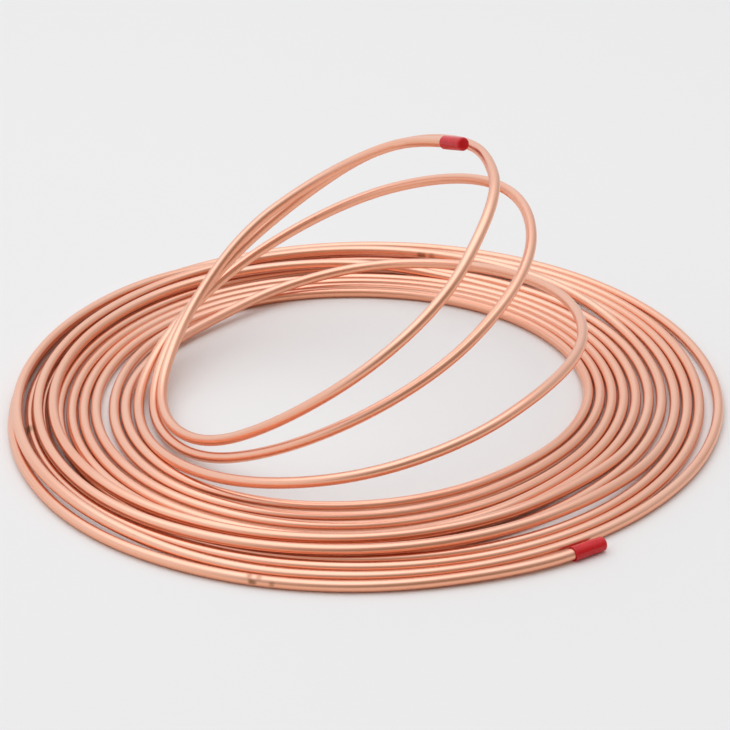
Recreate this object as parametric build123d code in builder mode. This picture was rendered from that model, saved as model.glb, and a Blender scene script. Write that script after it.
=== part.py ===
"""Loose coil of 1/4 inch soft copper tube, with a red plastic cap pushed on each end.

The tube is one piece. It runs from the outer cap inwards, clockwise seen from above: eleven turns and a
half lie on the floor, some of them on top of their neighbours, and the last three turns stand up and lean.
Its model is cut square across into lengths that meet face to face, of about three floor turns or one
standing turn each.
Lengths are in millimetres. The floor is z = 0 and azimuths are degrees about the coil's own middle.
"""

from build123d import *
import os
from math import cos, floor, pi, radians, sin, sqrt, tan

# Tube
TUBE_OD = 6.35
TUBE_WALL = 0.76
# Least air between two turns that lie against each other
TURN_GAP = 0.3

# Coil: the radius that the outermost turn swings out to
OUTER_RADIUS = 217.0

# Azimuths of the outer and the inner end
OUTER_END_AZIMUTH = 305.0
INNER_END_AZIMUTH = 29.0

# End caps
CAP_LENGTH = 21.0
CAP_WALL = 0.9
CAP_CLEARANCE = 0.05
CAP_GRIP = 14.0
CAP_END_GAP = 0.3
CAP_END_ROUND = 1.6
CAP_LIP_ROUND = 0.3

# Each row is a turn, read at azimuths 270, 225, 180, 135, 90, 45, 0 and 315.
STATIONS_PER_TURN = 8
FIRST_AZIMUTH = 270.0

# Floor turns: how many tube widths each lies inside the coil's outer radius
FLOOR_INSETS = [
    [0.65, 0.0, 1.3, 1.65, 1.4, 0.9, 0.95, 2.0],
    [2.1, 1.0, 1.6, 2.65, 2.7, 2.0, 2.7, 3.2],
    [3.4, 2.5, 2.6, 3.65, 3.7, 3.05, 3.75, 4.3],
    [4.6, 3.6, 3.75, 4.7, 4.75, 4.1, 4.8, 5.4],
    [4.55, 2.9, 3.4, 4.15, 4.5, 5.25, 6.0, 7.0],
    [5.8, 4.7, 5.2, 6.05, 6.6, 6.55, 7.15, 8.0],
    [6.3, 4.5, 4.7, 5.7, 7.7, 7.8, 8.3, 9.05],
    [6.95, 5.8, 6.35, 7.5, 8.85, 8.9, 9.4, 10.1],
    [8.1, 6.9, 7.4, 8.55, 9.9, 9.95, 10.45, 11.2],
    [9.75, 8.25, 8.45, 9.6, 10.95, 11.0, 11.5, 12.7],
    [11.3, 9.45, 10.1, 10.65, 12.0, 12.05, 12.55, 14.05],
    [13.0, 10.8, 11.15],
]

# Standing turns, on from azimuth 135: the same insets, and how many tube widths up the tube's middle is
STANDING_INSETS = [
    [12.5, 10.95, 13, 13.55, 12.1],
    [9.85, 11.3, 12.35, 14.05, 16.4, 18.25, 18.45, 16.55],
    [13.95, 13.3, 13.65, 15, 18.6, 21.45, 21.95, 19.1],
    [13.8, 13.85, 14.45, 16.75, 20.35, 22.7],
]
STANDING_HEIGHTS = [
    [0.85, 2.75, 5.65, 7.75, 8.45],
    [5.4, 1.4, 0.85, 5.9, 12.7, 17, 17.7, 15.05],
    [8.65, 1.7, 1.05, 8.15, 17.75, 21.75, 22.75, 21.1],
    [12.9, 2.85, 1.75, 11, 18.5, 22.4],
]

# The two ends, in the same tube widths
OUTER_END_INSET = 0.55
INNER_END_INSET = 23.45
INNER_END_HEIGHT = 22.95

# The route has this many corners a turn, and each is rounded over this share of its shorter side
CORNERS_PER_TURN = 16
CORNER_SHARE = 0.45

# Lengths that the tube is modelled in, and how many turns each ends after
FLOOR_LENGTH_ENDS = {
    "copper_tube_turns_1_to_3": 3,
    "copper_tube_turns_4_to_6": 6,
    "copper_tube_turns_7_to_9": 9,
    "copper_tube_turns_10_to_12": len(FLOOR_INSETS) - 1 + len(FLOOR_INSETS[-1]) / STATIONS_PER_TURN,
}
STANDING_LENGTHS = ["copper_tube_standing_turn_1", "copper_tube_standing_turn_2", "copper_tube_standing_turn_3"]

STATION_ANGLE = 360 / STATIONS_PER_TURN
CORNER_ANGLE = 360 / CORNERS_PER_TURN
LAY = TUBE_OD + TURN_GAP
REST_HEIGHT = TUBE_OD / 2
CAP_BORE = TUBE_OD + 2 * CAP_CLEARANCE
CAP_OD = CAP_BORE + 2 * CAP_WALL

# Radius and wished height at each station, the outer end first, by the angle travelled from azimuth 270
floor_radii = [OUTER_RADIUS - LAY * inset for row in FLOOR_INSETS for inset in row]
standing_radii = [OUTER_RADIUS - LAY * inset for row in STANDING_INSETS for inset in row]
standing_heights = [LAY * height for row in STANDING_HEIGHTS for height in row]
radii = floor_radii + standing_radii
wishes = [REST_HEIGHT] * len(floor_radii) + standing_heights
start = FIRST_AZIMUTH - OUTER_END_AZIMUTH
inner_end_turn = 360 * ((len(radii) - 1) * STATION_ANGLE // 360)
finish = inner_end_turn + FIRST_AZIMUTH - INNER_END_AZIMUTH
angles = [start] + [k * STATION_ANGLE for k in range(len(radii))] + [finish]
radii = [OUTER_RADIUS - LAY * OUTER_END_INSET] + radii + [OUTER_RADIUS - LAY * INNER_END_INSET]
wishes = [CAP_OD / 2] + wishes + [LAY * INNER_END_HEIGHT]


def smooth(values, angle):
    """Value at a travelled angle on a smooth curve through the stations' values."""
    i = 0
    while i < len(angles) - 2 and angles[i + 1] < angle:
        i += 1

    def slope(k):
        low, high = max(k - 1, 0), min(k + 1, len(angles) - 1)
        return (values[high] - values[low]) / (angles[high] - angles[low])

    span = angles[i + 1] - angles[i]
    t = (angle - angles[i]) / span
    return (
        values[i] * (2 * t**3 - 3 * t**2 + 1)
        + span * slope(i) * (t**3 - 2 * t**2 + t)
        + values[i + 1] * (3 * t**2 - 2 * t**3)
        + span * slope(i + 1) * (t**3 - t**2)
    )


# Corners of the route by travelled angle, the tube's two ends included
first_corner = int(floor(start / CORNER_ANGLE)) + 1
last_corner = int(floor(finish / CORNER_ANGLE))
corner_angles = [start] + [k * CORNER_ANGLE for k in range(first_corner, last_corner)] + [finish]
heights = []


def laid_height(angle):
    """Height of the tube already laid, straight from corner to corner."""
    i = 0
    while i < len(heights) - 2 and corner_angles[i + 1] < angle:
        i += 1
    t = (angle - corner_angles[i]) / (corner_angles[i + 1] - corner_angles[i])
    return heights[i] + (heights[i + 1] - heights[i]) * t


def free_height(angle):
    """Lowest height from the wished one up that is clear of every turn laid before."""
    radius = smooth(radii, angle)
    taken = []
    before = angle - 360
    while before >= start:
        across = abs(smooth(radii, before) - radius)
        if across < LAY:
            up = sqrt(LAY**2 - across**2)
            height = laid_height(before)
            taken.append((height - up, height + up))
        before -= 360
    free = max(smooth(wishes, angle), REST_HEIGHT)
    for low, high in sorted(taken):
        if low < free + TURN_GAP and free < high:
            free = high
    return free


# Each turn rests on the floor or on the turns laid before it, and ramps up one corner ahead of a crossing.
LOOKS = 3
for angle in corner_angles:
    lift = 0
    wish = max(smooth(wishes, angle), REST_HEIGHT)
    for look in range(-LOOKS, LOOKS + 1):
        near = min(max(angle + look * CORNER_ANGLE / LOOKS, start), finish)
        lift = max(lift, free_height(near) - max(smooth(wishes, near), REST_HEIGHT))
    heights.append(wish + lift)

points = []
for angle, height in zip(corner_angles, heights):
    radius = smooth(radii, angle)
    azimuth = radians(FIRST_AZIMUTH - angle)
    points.append(Vector(radius * cos(azimuth), radius * sin(azimuth), height))

# Corners are set out past the points, so that the rounded route runs through the points themselves.
corners = [points[0]]
for before, point, after in zip(points, points[1:], points[2:]):
    corner = point - (before - point * 2 + after) / 8
    corners.append(Vector(corner.X, corner.Y, max(corner.Z, REST_HEIGHT)))
corners.append(points[-1])
# The outer end is level as far as the cap grips it.
corners[1] = Vector(corners[1].X, corners[1].Y, corners[0].Z)

bends = []
for before, corner, after in zip(corners, corners[1:], corners[2:]):
    turn = radians((corner - before).get_angle(after - corner))
    shorter = min((corner - before).length, (after - corner).length)
    bends.append(CORNER_SHARE * shorter / tan(turn / 2))

# The middle of the coil's box goes to the origin.
with BuildLine() as unplaced:
    FilletPolyline(*corners, radius=bends)
middle = unplaced.line.bounding_box().center()
corners = [corner - Vector(middle.X, middle.Y, 0) for corner in corners]

# Corner before the side that each length ends on, half way along: the last one ends at the tube's own end.
floor_ends = [360 * turns for turns in FLOOR_LENGTH_ENDS.values()]
standing_ends = [floor_ends[-1] + 360 * turn for turn in range(1, len(STANDING_LENGTHS))]
last_corners = [
    max(i for i, angle in enumerate(corner_angles) if angle <= end) for end in floor_ends + standing_ends
]
last_corners.append(len(corners) - 2)
outer_end, inner_end = corners[0], corners[-1]

# Copper tube: each length is a round bar swept along its stretch of the route, then hollowed from both ends.
tube_lengths = {}
first_point, first = outer_end, 1
for name, last in zip([*FLOOR_LENGTH_ENDS, *STANDING_LENGTHS], last_corners):
    last_point = inner_end if corners[last + 1] is inner_end else (corners[last] + corners[last + 1]) / 2
    stretch = [first_point, *corners[first : last + 1], last_point]
    with BuildPart() as tube_length:
        with BuildLine():
            route = FilletPolyline(*stretch, radius=bends[first - 1 : last])
        with BuildSketch(Plane(origin=route @ 0, z_dir=route % 0)):
            Circle(TUBE_OD / 2)
        sweep(path=route)
        offset(amount=-TUBE_WALL, openings=tube_length.faces().filter_by(GeomType.PLANE))
    tube_lengths[name] = tube_length
    first_point, first = last_point, last + 1


def push_on_cap(tube_end, outward):
    """Cap with its mouth a grip's length back along the tube and its closed end rounded."""
    mouth = Plane(origin=tube_end - outward * CAP_GRIP, z_dir=outward)
    with BuildPart() as cap:
        with BuildSketch(mouth):
            Circle(CAP_OD / 2)
        extrude(amount=CAP_LENGTH)
        rims = cap.edges().sort_by(Axis(tube_end, outward))
        fillet(rims[-1], CAP_END_ROUND)
        with BuildSketch(mouth):
            Circle(CAP_BORE / 2)
        extrude(amount=CAP_GRIP + CAP_END_GAP, mode=Mode.SUBTRACT)
        lip = cap.edges().group_by(Axis(tube_end, outward))[0].sort_by(SortBy.RADIUS)[-1]
        fillet(lip, CAP_LIP_ROUND)
    return cap


outer_end_cap = push_on_cap(outer_end, (outer_end - corners[1]).normalized())
inner_end_cap = push_on_cap(inner_end, (inner_end - corners[-2]).normalized())

os.makedirs("parts", exist_ok=True)
for name, tube_length in tube_lengths.items():
    tube_length.part.label = name
    export_step(tube_length.part, f"parts/{name}.step")
outer_end_cap.part.label = "outer_end_cap"
inner_end_cap.part.label = "inner_end_cap"
export_step(outer_end_cap.part, "parts/outer_end_cap.step")
export_step(inner_end_cap.part, "parts/inner_end_cap.step")

length = sum(edge.length for edge in unplaced.edges())
volume = sum(tube_length.part.volume for tube_length in tube_lengths.values())
section = pi / 4 * (TUBE_OD**2 - (TUBE_OD - 2 * TUBE_WALL) ** 2)
print("tube length", round(length), "volume", round(volume), "section", round(section, 3))
print("volume over length and section", round(volume / length / section, 5))
print("turns", round((finish - start) / 360, 2), "bends from", round(min(bends)), "to", round(max(bends)))
print("coil's middle at", round(-middle.X, 2), round(-middle.Y, 2))
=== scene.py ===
"""Loose coil of quarter inch soft copper tube, with a soft red cap pushed on each end.

One long tube is carried along the coil's own route, as turns laid on the floor by the same rule as
the solids, and each cap is a turned skin on the tube's end. Lengths are in metres, and the floor
is z = 0.
"""

from math import cos, floor, pi, radians, sin, sqrt

import bpy
import numpy as np
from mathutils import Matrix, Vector


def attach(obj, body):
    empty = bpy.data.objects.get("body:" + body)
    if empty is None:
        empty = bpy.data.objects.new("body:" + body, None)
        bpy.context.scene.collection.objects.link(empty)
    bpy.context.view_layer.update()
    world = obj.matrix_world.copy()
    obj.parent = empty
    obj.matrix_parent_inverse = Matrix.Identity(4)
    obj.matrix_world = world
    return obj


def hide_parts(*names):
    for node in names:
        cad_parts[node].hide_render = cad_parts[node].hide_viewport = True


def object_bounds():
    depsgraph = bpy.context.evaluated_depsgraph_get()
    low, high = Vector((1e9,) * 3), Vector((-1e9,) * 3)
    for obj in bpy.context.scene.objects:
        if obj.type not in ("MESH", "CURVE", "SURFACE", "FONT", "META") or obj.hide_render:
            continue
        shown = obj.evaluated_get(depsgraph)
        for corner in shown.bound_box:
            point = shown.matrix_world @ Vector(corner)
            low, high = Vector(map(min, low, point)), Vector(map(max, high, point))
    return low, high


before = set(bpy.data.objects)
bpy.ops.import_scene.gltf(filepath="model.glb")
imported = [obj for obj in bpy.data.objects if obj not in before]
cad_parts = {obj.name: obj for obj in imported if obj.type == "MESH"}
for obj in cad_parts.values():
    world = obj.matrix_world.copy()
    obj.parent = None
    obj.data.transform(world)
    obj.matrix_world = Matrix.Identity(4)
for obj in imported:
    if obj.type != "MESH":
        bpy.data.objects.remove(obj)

CAD_BOX = [list(corner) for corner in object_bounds()]

# Tube
TUBE_OD = 0.00635
TUBE_WALL = 0.00076
TURN_GAP = 0.0003

# Route: how far out the coil swings, and the azimuths of its two ends
OUTER_RADIUS = 0.217
OUTER_END_AZIMUTH = 305.0
INNER_END_AZIMUTH = 29.0

# Caps: the grip is how much of the tube is inside
CAP_LENGTH = 0.021
CAP_WALL = 0.0009
CAP_CLEARANCE = 0.00005
CAP_GRIP = 0.014
CAP_END_ROUND = 0.0016
CAP_LIP_ROUND = 0.0003

# Inside a cap: how far its floor is from the tube's end, and the bevel round that floor
CAP_FLOOR_GAP = 0.0003
CAP_FLOOR_BEVEL = 0.0004

# How much a cap would draw in over its whole length
CAP_DRAW_IN = 0.00012

# Each row is a turn, read at azimuths 270, 225, 180, 135, 90, 45, 0 and 315.
STATIONS_PER_TURN = 8
FIRST_AZIMUTH = 270.0

# Floor turns: how many tube widths each lies inside the coil's outer radius
FLOOR_INSETS = [
    [0.65, 0.0, 1.3, 1.65, 1.4, 0.9, 0.95, 2.0],
    [2.1, 1.0, 1.6, 2.65, 2.7, 2.0, 2.7, 3.2],
    [3.4, 2.5, 2.6, 3.65, 3.7, 3.05, 3.75, 4.3],
    [4.6, 3.6, 3.75, 4.7, 4.75, 4.1, 4.8, 5.4],
    [4.55, 2.9, 3.4, 4.15, 4.5, 5.25, 6.0, 7.0],
    [5.8, 4.7, 5.2, 6.05, 6.6, 6.55, 7.15, 8.0],
    [6.3, 4.5, 4.7, 5.7, 7.7, 7.8, 8.3, 9.05],
    [6.95, 5.8, 6.35, 7.5, 8.85, 8.9, 9.4, 10.1],
    [8.1, 6.9, 7.4, 8.55, 9.9, 9.95, 10.45, 11.2],
    [9.75, 8.25, 8.45, 9.6, 10.95, 11.0, 11.5, 12.7],
    [11.3, 9.45, 10.1, 10.65, 12.0, 12.05, 12.55, 14.05],
    [13.0, 10.8, 11.15],
]

# Standing turns, on from azimuth 135: the same insets, and how many tube widths up the tube's
# middle is
STANDING_INSETS = [
    [12.5, 10.95, 13, 13.55, 12.1],
    [9.85, 11.3, 12.35, 14.05, 16.4, 18.25, 18.45, 16.55],
    [13.95, 13.3, 13.65, 15, 18.6, 21.45, 21.95, 19.1],
    [13.8, 13.85, 14.45, 16.75, 20.35, 22.7],
]
STANDING_HEIGHTS = [
    [0.85, 2.75, 5.65, 7.75, 8.45],
    [5.4, 1.4, 0.85, 5.9, 12.7, 17, 17.7, 15.05],
    [8.65, 1.7, 1.05, 8.15, 17.75, 21.75, 22.75, 21.1],
    [12.9, 2.85, 1.75, 11, 18.5, 22.4],
]

# The two ends, in the same tube widths
OUTER_END_INSET = 0.55
INNER_END_INSET = 23.45
INNER_END_HEIGHT = 22.95

CORNERS_PER_TURN = 16
STATION_ANGLE = 360 / STATIONS_PER_TURN
CORNER_ANGLE = 360 / CORNERS_PER_TURN
LAY = TUBE_OD + TURN_GAP
REST_HEIGHT = TUBE_OD / 2
CAP_BORE = TUBE_OD + 2 * CAP_CLEARANCE
CAP_OD = CAP_BORE + 2 * CAP_WALL

# Places looked at on each side of a corner, as far as the next corner, before the corner is laid
LOOKS = 3

# How finely the pieces are made: sides round them, steps along the tube, points on each rounded
# corner of the route, and points along each part of a cap's profile
TUBE_SIDES = 24
TUBE_STEP = 0.0055
BORE_STEP = 4 * TUBE_STEP
CORNER_POINTS = 24
CAP_SIDES = 64
CAP_SIDE_POINTS = 24
CAP_LIP_POINTS = 5
CAP_END_POINTS = 9
SHARP_ANGLE = radians(40)

# Photograph's view: elevation, distance and focal length, and where the coil's middle is in it
IMAGE_SIZE = 730
VIEW_ELEVATION = radians(28.6)
VIEW_DISTANCE = 1.5
FOCAL_PIXELS = 2497.0
MIDDLE_ROW = 397.9
MIDDLE_COLUMN = 366.0
SENSOR_WIDTH = 36.0

# Copper: its own two tones, the painted shade low on its sides, and the tones of its lines and
# flecks
ROSE_COPPER = (0.90, 0.495, 0.358, 1)
PALE_COPPER = (0.89, 0.525, 0.392, 1)
SHADED_UNDERSIDE_COPPER = (0.96, 0.445, 0.265, 1)
LINE_COPPER = (0.80, 0.37, 0.25, 1)
FLECK_COPPER = (0.62, 0.27, 0.18, 1)

# How close the copper's patterns are: across, across and along the tube if it were pulled straight
FINE_LINES = (1500, 1500, 9)
BROAD_LINES = (420, 420, 5)
RIPPLES = (60, 60, 45)
FLECKS = (700, 700, 160)
COPPER_CLOUDS = 16.0

# Marks on the tube: where each is, how far it reaches, how much it hides, and its colour
BROWN = (0.20, 0.08, 0.03, 1)
OLIVE = (0.17, 0.11, 0.04, 1)
STRAW = (0.62, 0.50, 0.30, 1)
MARKS = [
    ((-0.0618, -0.2067, 0.0036), 0.0021, 0.80, BROWN),
    ((-0.0600, -0.2072, 0.0035), 0.0020, 0.70, BROWN),
    ((-0.0507, -0.2091, 0.0035), 0.0022, 0.55, BROWN),
    ((-0.0625, -0.2044, 0.0062), 0.0024, 0.55, BROWN),
    ((-0.0574, -0.2057, 0.0061), 0.0024, 0.50, BROWN),
    ((0.0345, 0.1816, 0.0099), 0.0026, 0.80, BROWN),
    ((0.0370, 0.1811, 0.0099), 0.0024, 0.70, BROWN),
    ((0.0425, 0.1798, 0.0101), 0.0030, 0.50, BROWN),
    ((-0.1983, -0.0463, 0.0048), 0.0060, 0.90, OLIVE),
    ((-0.1988, -0.0455, 0.0040), 0.0017, 0.70, STRAW),
    ((-0.0328, 0.1088, 0.0702), 0.0016, 0.25, BROWN),
]

# Cap plastic: its two reds, and how close its clouds and grain are
DEEP_RED = (0.58, 0.005, 0.010, 1)
BRIGHT_RED = (0.68, 0.011, 0.018, 1)
PLASTIC_CLOUDS = 180.0
PLASTIC_GRAIN = 2600.0

# Floor and softbox
FLOOR_HALF = 6.0
FLOOR_COLOUR = (0.87, 0.875, 0.88, 1)
SOFTBOX_PLACE = (-0.25, 0.2, 1.9)
SOFTBOX_SIZE = 2.4
SOFTBOX_POWER = 11.5

# Studio walls: pale, but browner towards two sides. Seen or mirrored they have full strength. As
# fill light they are weak low down and strong overhead.
WALL_PALE = (0.94, 0.955, 0.975, 1)
WALL_BROWN = (0.34, 0.255, 0.19, 1)
FRONT = (0.42, -0.90, 0.08)
RIGHT = (0.89, 0.45, -0.10)
UP = (0, 0, 1)
RIGHT_BROWN = 0.55
LOW_FILL = 0.5
HIGH_FILL = 1.14


# Route of the tube

floor_radii = [OUTER_RADIUS - LAY * inset for row in FLOOR_INSETS for inset in row]
standing_radii = [OUTER_RADIUS - LAY * inset for row in STANDING_INSETS for inset in row]
standing_heights = [LAY * height for row in STANDING_HEIGHTS for height in row]
start = FIRST_AZIMUTH - OUTER_END_AZIMUTH
station_count = len(floor_radii) + len(standing_radii)
whole_turns = (station_count - 1) * STATION_ANGLE // 360
finish = 360 * whole_turns + FIRST_AZIMUTH - INNER_END_AZIMUTH
station_angles = np.array([start] + [k * STATION_ANGLE for k in range(station_count)] + [finish])
outer_end_radius = OUTER_RADIUS - LAY * OUTER_END_INSET
inner_end_radius = OUTER_RADIUS - LAY * INNER_END_INSET
station_radii = np.array([outer_end_radius] + floor_radii + standing_radii + [inner_end_radius])
floor_heights = [REST_HEIGHT] * len(floor_radii)
station_heights = np.array(
    [CAP_OD / 2] + floor_heights + standing_heights + [LAY * INNER_END_HEIGHT]
)


def smooth(values, angle):
    """Cubic through the stations' values, with each slope taken from the two stations beside it."""
    i = min(max(int(np.searchsorted(station_angles, angle)) - 1, 0), len(values) - 2)
    low = np.array([max(i - 1, 0), i])
    high = np.array([i + 1, min(i + 2, len(values) - 1)])
    slopes = (values[high] - values[low]) / (station_angles[high] - station_angles[low])
    span = station_angles[i + 1] - station_angles[i]
    t = (angle - station_angles[i]) / span
    return (
        values[i] * (2 * t**3 - 3 * t**2 + 1)
        + span * slopes[0] * (t**3 - 2 * t**2 + t)
        + values[i + 1] * (3 * t**2 - 2 * t**3)
        + span * slopes[1] * (t**3 - t**2)
    )


def wished_height(angle):
    """Height read from the stations, but never under the floor."""
    return max(smooth(station_heights, angle), REST_HEIGHT)


first_corner = int(floor(start / CORNER_ANGLE)) + 1
last_corner = int(floor(finish / CORNER_ANGLE))
inner_angles = [k * CORNER_ANGLE for k in range(first_corner, last_corner)]
corner_angles = [start] + inner_angles + [finish]
laid_heights = []


def free_height(angle):
    """Lowest height, from the wished one up, that is one lay away from every turn laid before."""
    radius = smooth(station_radii, angle)
    taken = []
    before = angle - 360
    while before >= start:
        across = abs(smooth(station_radii, before) - radius)
        if across < LAY:
            up = sqrt(LAY**2 - across**2)
            laid = float(np.interp(before, corner_angles[: len(laid_heights)], laid_heights))
            taken.append((laid - up, laid + up))
        before -= 360
    free = wished_height(angle)
    for low, high in sorted(taken):
        if low < free + TURN_GAP and free < high:
            free = high
    return free


for angle in corner_angles:
    lift = 0.0
    for look in range(-LOOKS, LOOKS + 1):
        near = min(max(angle + look * CORNER_ANGLE / LOOKS, start), finish)
        lift = max(lift, free_height(near) - wished_height(near))
    laid_heights.append(wished_height(angle) + lift)

corner_radii = np.array([smooth(station_radii, angle) for angle in corner_angles])
corner_azimuths = np.radians(FIRST_AZIMUTH - np.array(corner_angles))
points = np.stack(
    [
        corner_radii * np.cos(corner_azimuths),
        corner_radii * np.sin(corner_azimuths),
        laid_heights,
    ],
    axis=1,
)

# Each corner is moved out by an eighth of its bend, so that the rounded route runs near its point.
# The tube leaves the outer cap level.
corners = points.copy()
corners[1:-1] -= (points[:-2] - 2 * points[1:-1] + points[2:]) / 8
corners[1:-1, 2] = np.maximum(corners[1:-1, 2], REST_HEIGHT)
corners[1, 2] = corners[0, 2]


def rounded_route(corners, grip):
    """Straight in the caps, and between them one smooth curve.

    Over each corner C it is the parabola M0 (1 - t)^2 + 2 C t (1 - t) + M1 t^2, from the middle M0
    of the side before the corner to the middle M1 of the side after it.
    """
    middles = (corners[:-1] + corners[1:]) / 2
    first_way = (corners[1] - corners[0]) / np.linalg.norm(corners[1] - corners[0])
    last_way = (corners[-2] - corners[-1]) / np.linalg.norm(corners[-2] - corners[-1])
    middles[0] = corners[0] + first_way * grip
    middles[-1] = corners[-1] + last_way * grip
    t = np.linspace(0, 1, CORNER_POINTS, endpoint=False)[None, :, None]
    arcs = (
        middles[:-1, None] * (1 - t) ** 2
        + 2 * corners[1:-1, None] * t * (1 - t)
        + middles[1:, None] * t**2
    )
    return np.concatenate([corners[:1], arcs.reshape(-1, 3), middles[-1:], corners[-1:]])


def stepped(fine, step):
    """The same line with even steps along it, its own two ends kept, and how far along each is."""
    run = np.concatenate([[0], np.cumsum(np.linalg.norm(np.diff(fine, axis=0), axis=1))])
    along = np.linspace(0, run[-1], int(run[-1] / step) + 1)
    return np.stack([np.interp(along, run, fine[:, axis]) for axis in range(3)], axis=1), along


# The tube's box and the solids' box have one middle.
fine_route = rounded_route(corners, CAP_GRIP)
cad_low, cad_high = np.array(CAD_BOX[0]), np.array(CAD_BOX[1])
placed = (cad_low + cad_high) / 2 - (fine_route.min(axis=0) + fine_route.max(axis=0)) / 2
placed[2] = 0
fine_route += placed
corners += placed
coil_middle = Vector(placed)


# Camera, at the photograph's viewing angle

camera_data = bpy.data.cameras.new("camera")
camera = bpy.data.objects.new("camera", camera_data)
bpy.context.scene.collection.objects.link(camera)
bpy.context.scene.camera = camera
camera_data.sensor_width = SENSOR_WIDTH
camera_data.lens = FOCAL_PIXELS / IMAGE_SIZE * SENSOR_WIDTH
back = Vector((0, -cos(VIEW_ELEVATION), sin(VIEW_ELEVATION)))
aside = (IMAGE_SIZE / 2 - MIDDLE_COLUMN) * VIEW_DISTANCE / FOCAL_PIXELS
camera.location = coil_middle + back * VIEW_DISTANCE + Vector((aside, 0, 0))
pitch = VIEW_ELEVATION - (MIDDLE_ROW - IMAGE_SIZE / 2) / FOCAL_PIXELS
camera.rotation_euler = (pi / 2 - pitch, 0, 0)


# Materials


class Shade:
    """A socket of a node tree, on which sums and products are written as plain arithmetic."""

    def __init__(self, tree, socket=None):
        self.tree = tree
        self.socket = socket

    def node(self, kind, settings=None, output=0, **inputs):
        """Adds one node: its settings first, then the values or links of its sockets.

        A socket is named with _ for each space, or by _ and its number.
        """
        made = self.tree.nodes.new(kind)
        for name, value in (settings or {}).items():
            setattr(made, name, value)
        for name, value in inputs.items():
            numbered = name[0] == "_" and name[1:].isdigit()
            self.feed(made, int(name[1:]) if numbered else name.replace("_", " "), value)
        return Shade(self.tree, made.outputs[output])

    def feed(self, made, key, value):
        """Gives one socket of a node its value or link."""
        socket = made.inputs[key]
        if isinstance(value, Shade):
            self.tree.links.new(value.socket, socket)
        else:
            socket.default_value = value

    def maths(self, operation, first, second):
        """A Math node on two values."""
        return self.node("ShaderNodeMath", {"operation": operation}, _0=first, _1=second)

    def __add__(self, other):
        return self.maths("ADD", self, other)

    __radd__ = __add__

    def __sub__(self, other):
        return self.maths("SUBTRACT", self, other)

    def __rsub__(self, other):
        return self.maths("SUBTRACT", other, self)

    def __mul__(self, other):
        return self.maths("MULTIPLY", self, other)

    __rmul__ = __mul__

    def __truediv__(self, other):
        return self.maths("DIVIDE", self, other)

    def larger(self, other):
        """The larger of two values."""
        return self.maths("MAXIMUM", self, other)

    def along(self, way):
        """How far this vector goes along a way: their dot product."""
        return self.node(
            "ShaderNodeVectorMath", {"operation": "DOT_PRODUCT"}, output="Value", _0=self, _1=way
        )

    def away_from(self, place):
        """Distance from this vector to a point."""
        return self.node(
            "ShaderNodeVectorMath", {"operation": "DISTANCE"}, output="Value", _0=self, _1=place
        )

    def stretched(self, scale):
        """The vector with each part multiplied by its own number."""
        return self.node("ShaderNodeVectorMath", {"operation": "MULTIPLY"}, _0=self, _1=scale)

    def noise(self, scale=1.0, detail=2.0, roughness=0.5):
        """Cloudy noise from 0 to 1 over this vector."""
        return self.node(
            "ShaderNodeTexNoise", Vector=self, Scale=scale, Detail=detail, Roughness=roughness
        )

    def between(self, low, high):
        """0 below low and 1 above high, with a smooth step between."""
        smooth_step = {"interpolation_type": "SMOOTHSTEP"}
        return self.node(
            "ShaderNodeMapRange", smooth_step, Value=self, From_Min=low, From_Max=high
        )

    def mix(self, first, second):
        """The first colour where this is 0 and the second where it is 1."""
        colours = {"data_type": "RGBA"}
        return self.node("ShaderNodeMix", colours, output=2, _0=self, _6=first, _7=second)


def new_material(name):
    """An empty material with a shader, and a hand on its tree to build from."""
    material = bpy.data.materials.new(name)
    material.use_nodes = True
    tree = material.node_tree
    return material, Shade(tree), tree.nodes["Principled BSDF"]


def feed(shade, shader, **inputs):
    """Gives the shader's sockets their values or links, each named with _ for a space."""
    for name, value in inputs.items():
        shade.feed(shader, name.replace("_", " "), value)


def copper_material():
    """Satin drawn copper, with painted shade low on its sides, fine lines and dark marks."""
    material, shade, shader = new_material("drawn_copper")
    pulled_straight = {"attribute_type": "GEOMETRY", "attribute_name": "straight"}
    straight = shade.node("ShaderNodeAttribute", pulled_straight, output="Vector")
    place = shade.node("ShaderNodeTexCoord", output="Object")
    lines = straight.stretched(FINE_LINES).noise(detail=3.0, roughness=0.6)
    broad_lines = straight.stretched(BROAD_LINES).noise()
    clouds = place.noise(COPPER_CLOUDS, 3.0, 0.55)
    ripples = straight.stretched(RIPPLES).noise()
    flecks = straight.stretched(FLECKS).noise().between(0.68, 0.78)

    # From -1 at the tube's underside to 1 at its top
    round_it = straight.along((0, 2 / TUBE_OD, 0))
    # Painted shade: the lower side of the tube is given a deeper orange copper colour
    painted_underside_shade = 1 - round_it.between(-0.1, 0.75)
    colour = clouds.between(0.35, 0.65).mix(ROSE_COPPER, PALE_COPPER)
    colour = (painted_underside_shade * 0.75).mix(colour, SHADED_UNDERSIDE_COPPER)
    colour = (broad_lines.between(0.45, 0.75) * 0.45).mix(colour, LINE_COPPER)
    colour = (flecks * 0.35).mix(colour, FLECK_COPPER)

    # A mark fades out from its place, with its edge drawn out along the tube's fine lines
    for spot, reach, depth, mark_colour in MARKS:
        from_middle = place.away_from(spot) / reach + (lines - 0.5) * 0.9
        stain = (1 - from_middle.between(0.1, 1.1)) * depth
        colour = stain.mix(colour, mark_colour)

    height = lines * 0.5 + broad_lines * 0.6 + ripples * 5.0
    normal = shade.node("ShaderNodeBump", Strength=0.35, Distance=0.00006, Height=height)
    roughness = 0.21 + lines * 0.12 + clouds * 0.05
    feed(shade, shader, Base_Color=colour, Metallic=1.0, Roughness=roughness, Normal=normal)
    return material


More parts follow.
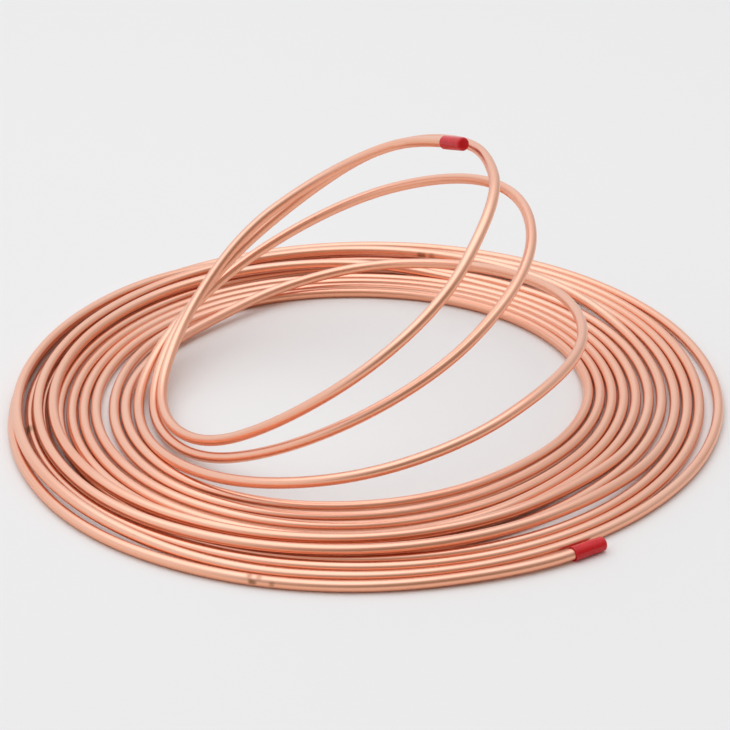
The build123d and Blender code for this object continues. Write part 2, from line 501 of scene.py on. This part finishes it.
def red_plastic_material():
    """Soft red plastic with a half gloss skin, a little uneven."""
    material, shade, shader = new_material("red_cap_plastic")
    place = shade.node("ShaderNodeTexCoord", output="Object")
    clouds = place.noise(PLASTIC_CLOUDS, 3.0)
    grain = place.noise(PLASTIC_GRAIN)
    colour = clouds.between(0.3, 0.7).mix(DEEP_RED, BRIGHT_RED)
    height = grain * 0.2 + clouds * 1.2
    normal = shade.node("ShaderNodeBump", Strength=0.25, Distance=0.0001, Height=height)
    feed(shade, shader, Base_Color=colour, Roughness=0.15 + clouds * 0.10, Normal=normal)
    feed(shade, shader, Specular_IOR_Level=0.38)
    return material


def floor_material():
    """Plain pale studio floor."""
    material, shade, shader = new_material("pale_floor")
    feed(shade, shader, Base_Color=FLOOR_COLOUR, Roughness=0.9)
    return material


# Pieces


def finished(name, vertices, faces, material, nodes):
    """A piece in its place: it rides on the coil's one body and stands for its solids."""
    mesh = bpy.data.meshes.new(name)
    mesh.from_pydata(vertices.tolist(), [], faces)
    mesh.shade_smooth()
    mesh.set_sharp_from_angle(angle=SHARP_ANGLE)
    mesh.materials.append(material)
    piece = bpy.data.objects.new(name, mesh)
    bpy.context.scene.collection.objects.link(piece)
    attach(piece, "root")
    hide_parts(*nodes)
    return piece


def ways_across(route):
    """Two directions across each point: one level, and one as near upright as the tube allows."""
    along = np.gradient(route, axis=0)
    along /= np.linalg.norm(along, axis=1)[:, None]
    up = np.array([0, 0, 1.0]) - along[:, 2:] * along
    up /= np.linalg.norm(up, axis=1)[:, None]
    return np.cross(along, up), up


def skin(route, radius, sides):
    """Round skin: point + radius * (cos a * side + sin a * up), for a all round at each point."""
    side, up = ways_across(route)
    a = np.linspace(0, 2 * pi, sides, endpoint=False)
    ring = np.cos(a)[None, :, None] * side[:, None] + np.sin(a)[None, :, None] * up[:, None]
    return (route[:, None] + radius * ring).reshape(-1, 3)


def strip_quads(rings, sides, first=0):
    """Four cornered faces between each ring of points and the next."""
    ring, turn = np.meshgrid(np.arange(rings - 1), np.arange(sides), indexing="ij")
    after = (turn + 1) % sides
    low = first + ring * sides
    high = low + sides
    return np.stack([low + turn, low + after, high + after, high + turn], axis=-1).reshape(-1, 4)


def copper_tube(material):
    """The whole tube: its outside, its bore turned inwards, and a flat rim at each end."""
    route, along = stepped(fine_route, TUBE_STEP)
    bore_route, bore_along = stepped(fine_route, BORE_STEP)
    outside = skin(route, TUBE_OD / 2, TUBE_SIDES)
    bore = skin(bore_route, TUBE_OD / 2 - TUBE_WALL, TUBE_SIDES)
    outer_quads = strip_quads(len(route), TUBE_SIDES)[:, ::-1]
    bore_quads = strip_quads(len(bore_route), TUBE_SIDES, len(outside))
    turn = np.arange(TUBE_SIDES)
    after = (turn + 1) % TUBE_SIDES
    end_out = len(outside) - TUBE_SIDES
    end_in = len(outside) + len(bore) - TUBE_SIDES
    first_rim = np.stack([after, len(outside) + after, len(outside) + turn, turn], axis=-1)
    last_rim = np.stack([end_in + turn, end_in + after, end_out + after, end_out + turn], axis=-1)
    piece = finished(
        "copper_tube",
        np.concatenate([outside, bore]),
        np.concatenate([outer_quads, bore_quads, first_rim, last_rim]).tolist(),
        material,
        [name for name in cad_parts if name.startswith("copper_tube")],
    )
    # Each point's place on the tube if it were pulled straight: across, across and along
    a = np.tile(np.linspace(0, 2 * pi, TUBE_SIDES, endpoint=False), len(route) + len(bore_route))
    run = np.repeat(np.concatenate([along, bore_along]), TUBE_SIDES)
    straight = np.stack([np.cos(a) * TUBE_OD / 2, np.sin(a) * TUBE_OD / 2, run], axis=1)
    attribute = piece.data.attributes.new("straight", "FLOAT_VECTOR", "POINT")
    attribute.data.foreach_set("vector", straight.astype(np.float32).ravel())


def quarter(centre, radius, begin, end, count):
    """Points of a round corner: centre + radius * (cos a, sin a)."""
    a = np.radians(np.linspace(begin, end, count))
    return np.stack([centre[0] + radius * np.cos(a), centre[1] + radius * np.sin(a)], axis=1)


def cap_profile():
    """A cap's profile, as distance from its mouth and distance out, from its floor to its end.

    It goes out over the floor, back along the bore, round the lip, and along the side, which draws
    in by CAP_DRAW_IN * (distance / length)^2, to the rounded end.
    """
    outer, inner = CAP_OD / 2, CAP_BORE / 2
    cap_floor = CAP_GRIP + CAP_FLOOR_GAP
    side = np.linspace(CAP_LIP_ROUND, CAP_LENGTH - CAP_END_ROUND, CAP_SIDE_POINTS)
    side_out = outer - CAP_DRAW_IN * (side / CAP_LENGTH) ** 2
    end_out = side_out[-1] - CAP_END_ROUND
    inner_lip = (CAP_LIP_ROUND, inner + CAP_LIP_ROUND)
    outer_lip = (CAP_LIP_ROUND, outer - CAP_LIP_ROUND)
    rounded_end = (CAP_LENGTH - CAP_END_ROUND, end_out)
    return np.concatenate(
        [
            [[cap_floor, inner / 2], [cap_floor, inner - CAP_FLOOR_BEVEL]],
            [[cap_floor - CAP_FLOOR_BEVEL, inner]],
            quarter(inner_lip, CAP_LIP_ROUND, 270, 180, CAP_LIP_POINTS),
            quarter(outer_lip, CAP_LIP_ROUND, 180, 90, CAP_LIP_POINTS),
            np.stack([side, side_out], axis=1)[1:],
            quarter(rounded_end, CAP_END_ROUND, 90, 0, CAP_END_POINTS)[1:],
            [[CAP_LENGTH, end_out / 2]],
        ]
    )


def push_on_cap(name, node, tube_end, outward, material):
    """Turned cap: mouth + distance * outward + radius * (cos a * level + sin a * up), a all round.

    The two flat faces at the profile's ends, its floor and its outer end, close it.
    """
    profile = cap_profile()
    outward = outward / np.linalg.norm(outward)
    level = np.cross(outward, [0, 0, 1.0])
    level /= np.linalg.norm(level)
    up = np.cross(level, outward)
    mouth = tube_end - outward * CAP_GRIP
    a = np.linspace(0, 2 * pi, CAP_SIDES, endpoint=False)
    ring = np.cos(a)[:, None] * level + np.sin(a)[:, None] * up
    vertices = mouth + profile[:, :1, None] * outward + profile[:, 1:, None] * ring
    last = CAP_SIDES * (len(profile) - 1)
    faces = strip_quads(len(profile), CAP_SIDES)[:, ::-1].tolist()
    faces += [list(range(CAP_SIDES)), list(range(last, last + CAP_SIDES))[::-1]]
    finished(name, vertices.reshape(-1, 3), faces, material, [node])


copper = copper_material()
red_plastic = red_plastic_material()
copper_tube(copper)
push_on_cap("outer_red_cap", "outer_end_cap", corners[0], corners[0] - corners[1], red_plastic)
push_on_cap("inner_red_cap", "inner_end_cap", corners[-1], corners[-1] - corners[-2], red_plastic)


# Studio

floor_mesh = bpy.data.meshes.new("studio_floor")
floor_sides = [(-1, -1), (1, -1), (1, 1), (-1, 1)]
floor_corners = [(x * FLOOR_HALF, y * FLOOR_HALF, 0) for x, y in floor_sides]
floor_mesh.from_pydata(floor_corners, [], [(0, 1, 2, 3)])
floor_mesh.materials.append(floor_material())
studio_floor = bpy.data.objects.new("studio_floor", floor_mesh)
bpy.context.scene.collection.objects.link(studio_floor)

softbox_data = bpy.data.lights.new("overhead_softbox", "AREA")
softbox_data.shape = "SQUARE"
softbox_data.size = SOFTBOX_SIZE
softbox_data.energy = SOFTBOX_POWER
softbox = bpy.data.objects.new("overhead_softbox", softbox_data)
softbox.location = SOFTBOX_PLACE
softbox.rotation_euler = (-Vector(SOFTBOX_PLACE)).to_track_quat("-Z", "Y").to_euler()
bpy.context.scene.collection.objects.link(softbox)

world = bpy.data.worlds.new("studio")
bpy.context.scene.world = world
world.use_nodes = True
shade = Shade(world.node_tree)
camera_ray, glossy_ray, transmission_ray = (
    shade.node("ShaderNodeLightPath", output=kind)
    for kind in ("Is Camera Ray", "Is Glossy Ray", "Is Transmission Ray")
)
shown = camera_ray.larger(glossy_ray).larger(transmission_ray)
way = shade.node("ShaderNodeTexCoord", output="Generated")
wall = way.along(FRONT).between(0.15, 0.95).mix(WALL_PALE, WALL_BROWN)
wall = (way.along(RIGHT).between(0.4, 0.95) * RIGHT_BROWN).mix(wall, WALL_BROWN)
fill = LOW_FILL + way.along(UP).between(0.0, 1.0) * (HIGH_FILL - LOW_FILL)
background = world.node_tree.nodes["Background"]
feed(shade, background, Color=wall, Strength=fill + shown * (1 - fill))

bpy.context.scene.view_settings.view_transform = "Standard"
